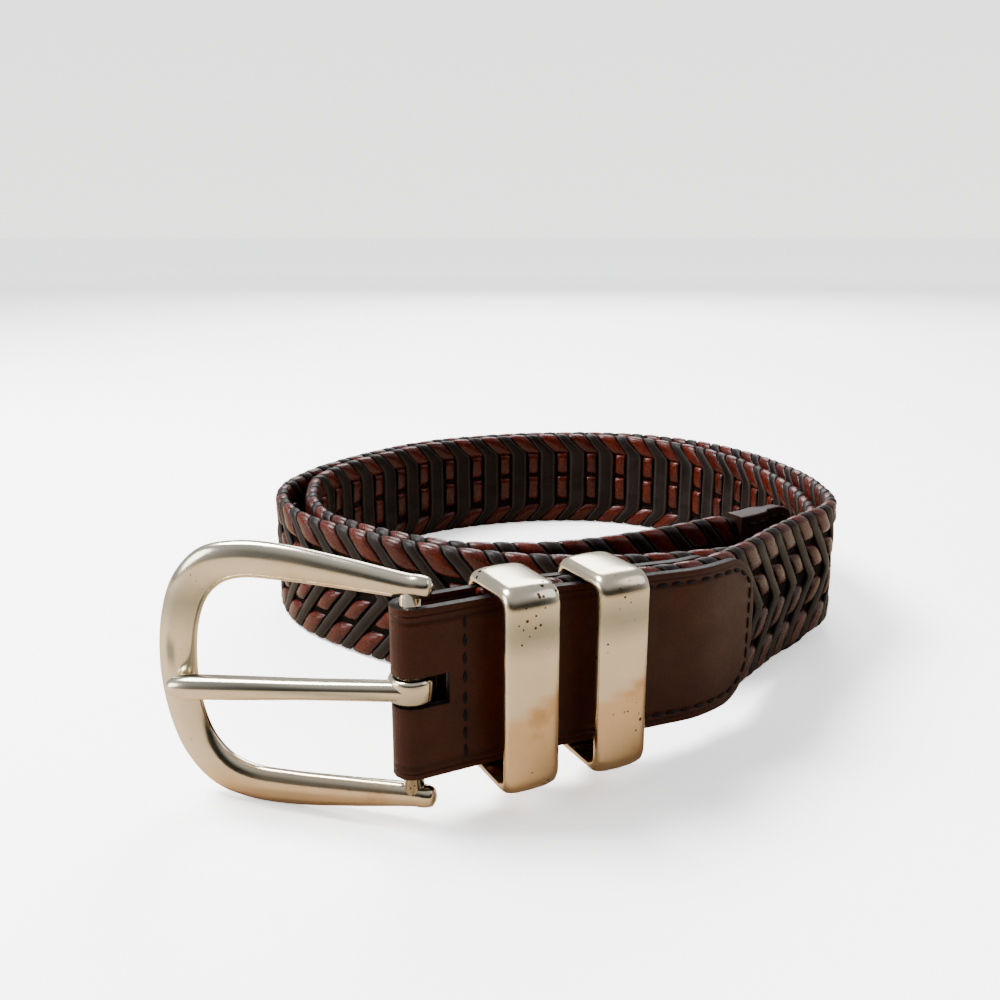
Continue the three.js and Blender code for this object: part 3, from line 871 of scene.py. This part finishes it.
def solidSheet(piece, thickness, rimMaterial):
    piece.data.materials.append(rimMaterial)
    wall = piece.modifiers.new("wall", "SOLIDIFY")
    wall.thickness = thickness * mm
    wall.offset = 0
    wall.material_offset_rim = 1


def makeChape():
    total = chape["backLength"] + foldLength + chape["length"]
    along = round(total / chape["alongStep"])
    bm = bmesh.new()
    bmesh.ops.create_grid(bm, x_segments=along, y_segments=chape["acrossSteps"], size=0.5)
    inset = bm.verts.layers.float.new("inset")
    beyond = chape["endInset"]
    for vert in bm.verts:
        q = (vert.co.x + 0.5) * total
        width = chapeWidthAt(q)
        vert[inset] = min((0.5 - abs(vert.co.y)) * width, q + beyond, total - q + beyond)
        vert.co = Vector((q, vert.co.y * width, 0))
    slotStart = chape["backLength"] - chape["slotEnd"]
    slotStop = chape["backLength"] + foldLength + chape["slotEnd"]
    slotMiddle = buckleMiddle + chape["slotRise"] - strapMiddle(0)
    low, high = slotMiddle - chape["slotHeight"] / 2, slotMiddle + chape["slotHeight"] / 2
    cuts = [((slotStart, 0, 0), (1, 0, 0)), ((slotStop, 0, 0), (1, 0, 0)),
            ((0, low, 0), (0, 1, 0)), ((0, high, 0), (0, 1, 0))]
    for place, normal in cuts:
        bmesh.ops.bisect_plane(bm, geom=bm.verts[:] + bm.edges[:] + bm.faces[:], dist=0.0001,
                               plane_co=place, plane_no=normal)
    slot = []
    for item in bm.faces:
        middle = item.calc_center_median()
        if slotStart < middle.x < slotStop and low < middle.y < high:
            slot.append(item)
    bmesh.ops.delete(bm, geom=slot, context="FACES")
    for vert in bm.verts:
        q, up, _ = vert.co
        place = Vector((q * chape["waveScale"][0], up * chape["waveScale"][1], chape["waveSeed"]))
        vert.co = onChape(q, up, noise.noise(place) * chape["waveDepth"])
    piece = finishMesh(bm, "chape_leather", "strap", chapeLeather)
    solidSheet(piece, chape["leather"], edgePaint)
    roundEdges(piece, chape["edgeRound"], chape["edgeSegments"], chape["edgeAngle"])
    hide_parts("chape")


def layStitches(name, places, body):      # places: middle, direction and outward normal
    bm = bmesh.new()
    length, width = chape["stitchLength"] * mm, chape["stitchWidth"] * mm
    for middle, ahead, normal in places:
        side = normal.cross(ahead).normalized()
        bead = bmesh.ops.create_uvsphere(bm, u_segments=chape["stitchSides"],
                                         v_segments=chape["stitchRings"], radius=0.5)
        for vert in bead["verts"]:
            x, y, z = vert.co
            fullness = 1 - chape["stitchTaper"] * abs(z)
            vert.co = (middle + ahead * (z * length) + side * (x * width * fullness)
                       + normal * (y * width * chape["stitchHeight"]))
    finishMesh(bm, name, body, threadMaterial)


def alongPath(points, pitch):       # evenly spaced places on a path, with their directions
    lengths = [0.0]
    for a, b in zip(points, points[1:]):
        lengths.append(lengths[-1] + (b - a).length)
    count = int(lengths[-1] / pitch)
    spread = []
    for n in range(count):
        at = (n + 0.5) * lengths[-1] / count
        i = min(bisect_right(lengths, at) - 1, len(points) - 2)
        t = (at - lengths[i]) / (lengths[i + 1] - lengths[i])
        spread.append((points[i].lerp(points[i + 1], t), (points[i + 1] - points[i]).normalized()))
    return spread


def outlinePath(length, width, flatWidth, depth, inset, startRun):
    steps = 60
    upper = []
    for i in range(steps + 1):
        run = startRun + (length - inset - startRun) * math.sin(math.pi / 2 * i / steps)
        halfWidth = endWidth(width, flatWidth, depth, length - run) / 2 - inset
        upper.append(Vector((run, max(halfWidth, 0.0))))
    return upper + [Vector((p.x, -p.y)) for p in reversed(upper)]


def sheetStitches(path, place):
    places = []
    surface = chape["leather"] / 2 + chape["stitchLift"]
    above = chape["leather"] / 2 + 1
    nudge = 0.3
    for flatPoint, flatAhead in alongPath(path, chape["stitchPitch"]):
        middle = place(flatPoint.x, flatPoint.y, surface)
        ahead = place(flatPoint.x + flatAhead.x * nudge, flatPoint.y + flatAhead.y * nudge, surface) - middle
        normal = place(flatPoint.x, flatPoint.y, above) - middle
        places.append((middle, ahead.normalized(), normal.normalized()))
    return places


makeChape()
frontStart = chape["backLength"] + foldLength


def chapeFront(run, up, lift):
    return onChape(frontStart + run, up, lift)


def chapeBack(run, up, lift):
    return onChape(chape["backLength"] - run, up, lift)


frontPath = outlinePath(chape["length"], chape["width"], chape["endFlat"], chape["endDepth"],
                        chape["stitchInset"], chape["stitchStart"])
backPath = outlinePath(chape["backLength"], chape["width"], chape["endFlat"], chape["endDepth"],
                       chape["stitchInset"], chape["stitchStart"])
chapeStitchPlaces = sheetStitches(frontPath, chapeFront) + sheetStitches(backPath, chapeBack)
for chapeSide in (chapeFront, chapeBack):
    for ends in chape["barStitches"]:
        column = [Vector((chape["barStitchRun"], up)) for up in ends]
        chapeStitchPlaces += sheetStitches(column, chapeSide)
layStitches("chape_stitches", chapeStitchPlaces, "strap")

print("stage: tip tab")


def tipHalf(run):
    thick = tip["pressedThickness"] / 2 + fitGap + tip["leather"]
    closeFrom = braidEnd + tip["stepGap"]
    return thick + (tip["leather"] - thick) * smoothStep(run, closeFrom, closeFrom + tip["stepRun"])


def makeTip():
    bm = bmesh.new()
    rings = []
    quarter = math.pi / 2 / tip["endSteps"]
    runs = runsBetween(tipStart, strapLength - tip["endDepth"], tip["step"])
    for i in range(1, tip["endSteps"] + 1):
        runs.append(strapLength - tip["endDepth"] * (1 - math.sin(quarter * i)))
    for run in runs:
        width = endWidth(tip["width"], tip["endFlat"], tip["endDepth"], strapLength - run)
        rings.append(ringAt(run, 0, 2 * tipHalf(run), width, tip["chamfer"]))
    sweepRings(bm, rings)
    piece = finishMesh(bm, "tip_leather", "strap", tabLeather, smooth=False)
    roundEdges(piece, tip["edgeRound"], tip["edgeSegments"], tip["edgeAngle"])
    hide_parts("tip_tab")


makeTip()
tipStitchStart = tipStart + tip["stitchStart"]
tipPath = outlinePath(strapLength, tip["width"], tip["endFlat"], tip["endDepth"],
                      chape["stitchInset"], tipStitchStart)
tipEntry = [Vector((tipStitchStart, tip["entryHalf"])), Vector((tipStitchStart, -tip["entryHalf"]))]


def tipOutside(run, up, lift):
    return onStrap(run, up, tipHalf(run) + lift - chape["leather"] / 2)


def tipInside(run, up, lift):
    return onStrap(run, up, -tipHalf(run) - lift + chape["leather"] / 2)


tipStitchPlaces = []
for path in (tipPath, tipEntry):
    for tipSide in (tipOutside, tipInside):
        tipStitchPlaces += sheetStitches(path, tipSide)
layStitches("tip_stitches", tipStitchPlaces, "strap")

print("stage: buckle, prong and keepers")

buckle = {
    "angle": 138.0,
    "halfHeight": 25.0,
    "reach": 48.6,
    "halfDepth": 1.9,
    "barRadius": 1.8,
    "armOverhang": 4.0,
    "armHalf": 2.1,
    "armEnd": [(0, 0.3), (0.25, 0.78), (1, 1)],     # its rounded end: along, share of its half
    "steps": 150,
    "sides": 28,
    "barSides": 32,
    "warmBelow": 6.0,
    "darkReflectionBand": (30.0, 46.0),
    # middle line from the bar to the far edge: along its reach, up its half height, half its bar
    "line": [(0, 0.774, 0.086), (0.25, 0.824, 0.112), (0.49, 0.862, 0.132), (0.65, 0.855, 0.136),
             (0.765, 0.785, 0.148), (0.85, 0.62, 0.148), (0.902, 0.37, 0.146), (0.924, 0, 0.148)],
    "nick": (0.93, 3.5),    # worn spot: along its reach, mm above its middle
    "nickSize": 1.5,
    "nickDull": 1.4,
    "nickStretch": 0.3,     # less than 1 draws it out upwards
}
prong = {
    "reach": 45.0,
    "radius": 2.25,
    "rise": 1.4,
    "drop": 3.6,
    "eyeWall": 2.0,
    "eyeHeight": 4.4,
    "eyePlay": 0.3,
    "eyeCorner": 0.7,
    "eyeSteps": 48,
    "rootPlay": 0.1,
    "sides": 24,
    "shaftSteps": 40,
    "tipShares": [0.95, 0.965, 0.975, 0.985, 0.992, 0.997, 1.0],
    "warmBelow": 18.0,
    "darkReflectionBand": (24.0, 26.5),
    "size": [(0, 0.84), (0.3, 0.84), (0.75, 0.98), (0.88, 1), (0.95, 0.86), (0.985, 0.58), (1, 0.2)],
}
keeper = {
    "places": [("keeper_1", 18.2), ("keeper_2", 36.4)],
    "band": 10.6,
    "wall": 2.3,
    "frontRoom": 5.2,
    "backGap": 0.4,
    "heightPlay": 2.0,
    "corner": 4.0,
    "chamfer": 1.7,
    "chamferTurns": (0, 30, 60, 90),
    "innerChamfer": 0.25,
    "crown": 0.25,          # the face stands this much prouder in its middle
    "crownRows": [(0.5, 0.35), (0, 0)],     # share of the half band, share of the crown that is lost
    "alongStep": 1.5,
    "warmRise": 15.0,
    "warmSpread": 0.9,
    "warmLean": 0.45,
    "darkReflectionDrop": (11.0, 0.5),
    "cornerSteps": 10,
}
turnRadians = math.radians(buckle["angle"])
buckleAlong = Vector((math.cos(turnRadians), math.sin(turnRadians), 0))
upward = Vector((0, 0, 1))
buckleFront = upward.cross(buckleAlong)


def bucklePoint(along, up, front=0.0):
    bar = Vector((barX, barY, buckleMiddle))
    return (bar + buckleAlong * along + buckleFront * front + upward * up) * mm


def curveThrough(points, count):        # centripetal Catmull-Rom, evenly stepped between the points
    ends = [points[0] * 2 - points[1]] + points + [points[-1] * 2 - points[-2]]
    made = []
    for n in range(count + 1):
        at = n / count * (len(points) - 1)
        i = min(int(at), len(points) - 2)
        p = ends[i:i + 4]
        knots = [0.0]
        for a, b in zip(p, p[1:]):
            knots.append(knots[-1] + (b - a).length ** 0.5)
        t = knots[1] + (knots[2] - knots[1]) * (at - i)
        a1 = p[0].lerp(p[1], (t - knots[0]) / (knots[1] - knots[0]))
        a2 = p[1].lerp(p[2], (t - knots[1]) / (knots[2] - knots[1]))
        a3 = p[2].lerp(p[3], (t - knots[2]) / (knots[3] - knots[2]))
        b1 = a1.lerp(a2, (t - knots[0]) / (knots[2] - knots[0]))
        b2 = a2.lerp(a3, (t - knots[1]) / (knots[3] - knots[1]))
        made.append(b1.lerp(b2, (t - knots[1]) / (knots[2] - knots[1])))
    return made


def roundRing(point, tangent, front, halfSide, halfFront, sides):
    side = front.cross(tangent).normalized()
    rise = tangent.cross(side).normalized()
    ring = []
    for i in range(sides):
        angle = 2 * math.pi * i / sides
        ring.append(point + (side * math.cos(angle) * halfSide + rise * math.sin(angle) * halfFront) * mm)
    return ring


def makeBuckle():
    armHalf, halfHeight = buckle["armHalf"], buckle["halfHeight"]
    armUp = buckle["line"][0][1] * halfHeight
    upper = [Vector((-buckle["armOverhang"] + along * armHalf, armUp, size * armHalf))
             for along, size in buckle["armEnd"]]
    upper += [Vector((along * buckle["reach"], up * halfHeight, max(armHalf, size * halfHeight)))
              for along, up, size in buckle["line"]]
    lower = [Vector((p.x, -p.y, p.z)) for p in reversed(upper[:-1])]
    path = curveThrough(upper + lower, buckle["steps"])
    rings = []
    for i, at in enumerate(path):
        ahead = path[min(i + 1, len(path) - 1)] - path[max(i - 1, 0)]
        tangent = (buckleAlong * ahead.x + upward * ahead.y).normalized()
        halfDepth = buckle["halfDepth"] * min(1, at.z / armHalf)
        middle = bucklePoint(at.x, at.y)
        rings.append(roundRing(middle, tangent, buckleFront, at.z, halfDepth, buckle["sides"]))
    bm = bmesh.new()
    sweepRings(bm, rings)
    paintMetalReflections(bm, buckle["warmBelow"], buckle["darkReflectionBand"])
    # the worn nick goes into the same mask as the painted dark reflection band
    darkReflectionAndNick = bm.verts.layers.float["darkReflectionAndNick"]
    nick = bucklePoint(buckle["nick"][0] * buckle["reach"], buckle["nick"][1], buckle["halfDepth"])
    for vert in bm.verts:
        away = vert.co - nick
        away.z *= buckle["nickStretch"]
        near = 1 - smoothStep(away.length / mm, 0, buckle["nickSize"])
        vert[darkReflectionAndNick] = max(vert[darkReflectionAndNick], buckle["nickDull"] * near)
    piece = finishMesh(bm, "buckle_cast", "buckle", buckleMetal)
    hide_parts("buckle_frame")
    bm = bmesh.new()
    barRadius = buckle["barRadius"] * mm
    made = bmesh.ops.create_cone(bm, cap_ends=True, segments=buckle["barSides"], radius1=barRadius,
                                 radius2=barRadius, depth=2 * armUp * mm)
    bmesh.ops.translate(bm, verts=made["verts"], vec=bucklePoint(0, 0))
    bar = finishMesh(bm, "buckle_bar", "buckle", buckleMetal)
    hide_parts("buckle_frame")


def clearOfBar(point, radius):      # the eye's hole is cut through the root of the pin too
    out = Vector((point.x - barX * mm, point.y - barY * mm, 0))
    short = radius * mm - out.length
    return point + out.normalized() * max(short, 0)


def makeProng():
    holeRadius = buckle["barRadius"] + prong["eyePlay"]
    eyeRadius = holeRadius + prong["eyeWall"]
    frontAtEye = eyeRadius - prong["radius"] * prong["size"][0][1]
    frontAtTip = buckle["halfDepth"] + fitGap + prong["radius"]

    def pinPoint(share):
        front = frontAtEye + (frontAtTip - frontAtEye) * share
        return bucklePoint(share * prong["reach"], prong["rise"] - share * prong["drop"], front)

    tangent = (pinPoint(1) - pinPoint(0)).normalized()
    steps = prong["shaftSteps"]
    shares = [i / steps * prong["tipShares"][0] for i in range(steps)] + prong["tipShares"]
    rings = []
    for share in shares:
        radius = prong["radius"] * readTable(prong["size"], share)
        ring = roundRing(pinPoint(share), tangent, upward, radius, radius, prong["sides"])
        rings.append([clearOfBar(point, holeRadius + prong["rootPlay"]) for point in ring])
    bm = bmesh.new()
    sweepRings(bm, rings)
    paintMetalReflections(bm, prong["warmBelow"], prong["darkReflectionBand"])
    pin = finishMesh(bm, "prong_pin", "prong", prongMetal)
    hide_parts("prong")
    bm = bmesh.new()
    halfEye = prong["eyeHeight"] / 2
    corner = prong["eyeCorner"]
    dip = corner * 0.3
    lower = [(holeRadius, corner), (holeRadius + dip, dip), (holeRadius + corner, 0),
             (eyeRadius - corner, 0), (eyeRadius - dip, dip), (eyeRadius, corner)]
    outline = [(radius, rise - halfEye) for radius, rise in lower]
    outline += [(radius, halfEye - rise) for radius, rise in reversed(lower)]
    centre = Vector((barX, barY, buckleMiddle + prong["rise"])) * mm
    ring = [bm.verts.new(centre + Vector((radius, 0, up)) * mm) for radius, up in outline]
    edges = [bm.edges.new(pair) for pair in zip(ring, ring[1:] + ring[:1])]
    bmesh.ops.spin(bm, geom=ring + edges, cent=centre, axis=(0, 0, 1), angle=2 * math.pi,
                   steps=prong["eyeSteps"], use_merge=True)
    bmesh.ops.remove_doubles(bm, verts=bm.verts, dist=0.00001)
    paintMetalReflections(bm, prong["warmBelow"], prong["darkReflectionBand"])
    eye = finishMesh(bm, "prong_eye", "prong", prongMetal)
    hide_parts("prong")


def makeKeeper(name, at):
    chapeHalf = chape["channelHalf"] + chape["leather"]
    backInside = chapeHalf + keeper["backGap"]
    frontInside = -(chapeHalf + keeper["frontRoom"])
    topInside = strapMiddle(at - keeper["band"] / 2) + strap["width"] / 2 + fitGap
    bottomInside = topInside - strap["width"] - keeper["heightPlay"]
    inside = keeper["corner"] - keeper["wall"]
    halfBand = keeper["band"] / 2
    wall, chamfer = keeper["wall"], keeper["chamfer"]
    shoulder = wall - keeper["crown"]
    turns = [math.radians(turn) for turn in keeper["chamferTurns"]]
    edge = [(halfBand - chamfer * (1 - math.cos(turn)), shoulder - chamfer * (1 - math.sin(turn)))
            for turn in turns]
    crown = [(halfBand * across, wall - keeper["crown"] * lost) for across, lost in keeper["crownRows"]]
    small = keeper["innerChamfer"]
    rightSide = [(halfBand - small, 0), (halfBand, small)] + edge + crown
    section = rightSide + [(-along, out) for along, out in reversed(rightSide[:-1])]
    back, front = backInside - inside, frontInside + inside
    top, bottom = topInside - inside, bottomInside + inside
    corners = [(back, top, 0), (front, top, 90), (front, bottom, 180), (back, bottom, 270)]
    stations = []
    for y, z, start in corners:
        for i in range(keeper["cornerSteps"] + 1):
            stations.append((y, z, math.radians(start + 90 * i / keeper["cornerSteps"])))
    rings = []
    for y, z, angle in stations:
        rings.append([Vector((barX + at + along, barY + y + (inside + out) * math.cos(angle),
                              z + (inside + out) * math.sin(angle))) * mm for along, out in section])
    rings.append(rings[0])
    finer = []
    for before, after in zip(rings, rings[1:]):
        parts = max(1, round((after[0] - before[0]).length / (keeper["alongStep"] * mm)))
        finer += [[a.lerp(b, i / parts) for a, b in zip(before, after)] for i in range(parts)]
    bm = bmesh.new()
    sweepRings(bm, finer, isLoop=True)
    # painted reflections: a dark band under the top, and the table's warm tan below a leaning border
    darkReflectionBand = [topInside - drop for drop in keeper["darkReflectionDrop"]]
    warmBelow = bottomInside + keeper["warmRise"]
    paintMetalReflections(bm, warmBelow, darkReflectionBand, keeper["warmSpread"], keeper["warmLean"], barX + at)
    piece = finishMesh(bm, name + "_band", name, keeperMetal)
    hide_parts(name)


makeBuckle()
makeProng()
for keeperName, keeperAt in keeper["places"]:
    makeKeeper(keeperName, keeperAt)

print("stage: studio")

studio = {
    "floorSize": 60.0,
    "floorCells": 4,
    "floorColor": (2.7, 2.68, 2.66),
    "floorFar": (4.4, 4.37, 4.34),      # past the lamps' reach, where the floor meets the wall
    "floorFade": (1.2, 2.5),            # metres from the belt, from one colour to the other
    "floorGlow": 0.7,
    "tableColor": (0.52, 0.41, 0.29),   # what the pieces see of the table that the floor stands for
    "skyLow": (1.0, 0.985, 0.96),       # the studio's walls, near the floor and high up
    "skyHigh": (0.80, 0.82, 0.84),
    "skyFade": (0.02, 0.55),
    "roomDark": (0.030, 0.034, 0.030),  # the unlit side, behind the camera
    "darkToward": (0.25, -1, 0.1),      # camera's right, ahead, up
    "darkFade": (0.1, 0.75),
    "darkTopFade": (0.35, 0.75),
    "worldStrength": 0.55,
    "wallStrength": 2.5,                # the lit wall that the camera sees
    "lampTarget": (0, 0, 0.02),
    # name, place (camera's right, ahead, up) in metres, size, watts
    "lamps": [
        ("keyLamp", (-0.45, 0.05, 0.75), 0.40, 13.0),
        ("fillLamp", (0.75, -0.1, 0.6), 0.6, 1.0),
        ("sideLamp", (-0.90, -0.25, 0.30), 0.45, 3.0),
        ("backLamp", (0.10, 1.1, 0.85), 0.8, 13.0),
    ],
}


def buildWorld():
    world = bpy.data.worlds.new("studioWorld")
    bpy.context.scene.world = world
    world.use_nodes = True
    tree = world.node_tree
    back = tree.nodes["Background"]
    direction = addNode(tree, "TexCoord").outputs["Generated"]
    height = addNode(tree, "SeparateXYZ", {}, {0: direction}).outputs["Z"]
    high = remap(tree, height, *studio["skyFade"], 0.0, 1.0)
    walls = mixColors(tree, high, studio["skyLow"], studio["skyHigh"])
    behind = addNode(tree, "VectorMath", {"operation": "DOT_PRODUCT"}, {
        0: direction, 1: viewTurn @ Vector(studio["darkToward"])}).outputs["Value"]
    unlit = remap(tree, behind, *studio["darkFade"], 0.0, 1.0)
    low = remap(tree, height, *studio["darkTopFade"], 1.0, 0.0)
    seen = addNode(tree, "LightPath").outputs["Is Camera Ray"]
    unseen = remap(tree, seen, 0.0, 1.0, 1.0, 0.0)
    dark = calculate(tree, "MULTIPLY", calculate(tree, "MULTIPLY", unlit, low), unseen)
    tree.links.new(mixColors(tree, dark, walls, studio["roomDark"]), back.inputs["Color"])
    strength = remap(tree, seen, 0.0, 1.0, studio["worldStrength"], studio["wallStrength"])
    tree.links.new(strength, back.inputs["Strength"])


def buildLamps():
    for name, place, size, watts in studio["lamps"]:
        lamp = bpy.data.objects.new(name, bpy.data.lights.new(name, "AREA"))
        lamp.data.shape = "DISK"
        lamp.data.size = size
        lamp.data.energy = watts
        lamp.location = viewTurn @ Vector(place)
        toTarget = Vector(studio["lampTarget"]) - lamp.location
        lamp.rotation_euler = toTarget.to_track_quat("-Z", "Y").to_euler()
        bpy.context.scene.collection.objects.link(lamp)


def makeFloor():
    bm = bmesh.new()
    bmesh.ops.create_grid(bm, x_segments=studio["floorCells"], y_segments=studio["floorCells"],
                          size=studio["floorSize"] / 2)
    mesh = bpy.data.meshes.new("floor")
    bm.to_mesh(mesh)
    bm.free()
    floor = bpy.data.objects.new("floor", mesh)
    bpy.context.scene.collection.objects.link(floor)
    material, tree, shader = newMaterial("paleFloor", studio["floorColor"], 0.6)
    place = addNode(tree, "TexCoord").outputs["Object"]
    cloud = addNode(tree, "TexNoise", {}, {"Vector": place, "Scale": 3.0, "Detail": 3.0})
    tree.links.new(remap(tree, cloud.outputs["Fac"], *noiseSpan, 0.55, 0.65), shader.inputs["Roughness"])
    seen = addNode(tree, "LightPath").outputs["Is Camera Ray"]
    away = addNode(tree, "VectorMath", {"operation": "LENGTH"}, {0: place}).outputs["Value"]
    far = remap(tree, away, *studio["floorFade"], 0.0, 1.0)
    shown = mixColors(tree, far, studio["floorColor"], studio["floorFar"])
    tree.links.new(mixColors(tree, seen, studio["tableColor"], shown), shader.inputs["Base Color"])
    shader.inputs["Emission Color"].default_value = (1, 1, 1, 1)
    glow = remap(tree, seen, 0.0, 1.0, 0.0, studio["floorGlow"])
    tree.links.new(glow, shader.inputs["Emission Strength"])
    mesh.materials.append(material)


buildWorld()
buildLamps()
makeFloor()
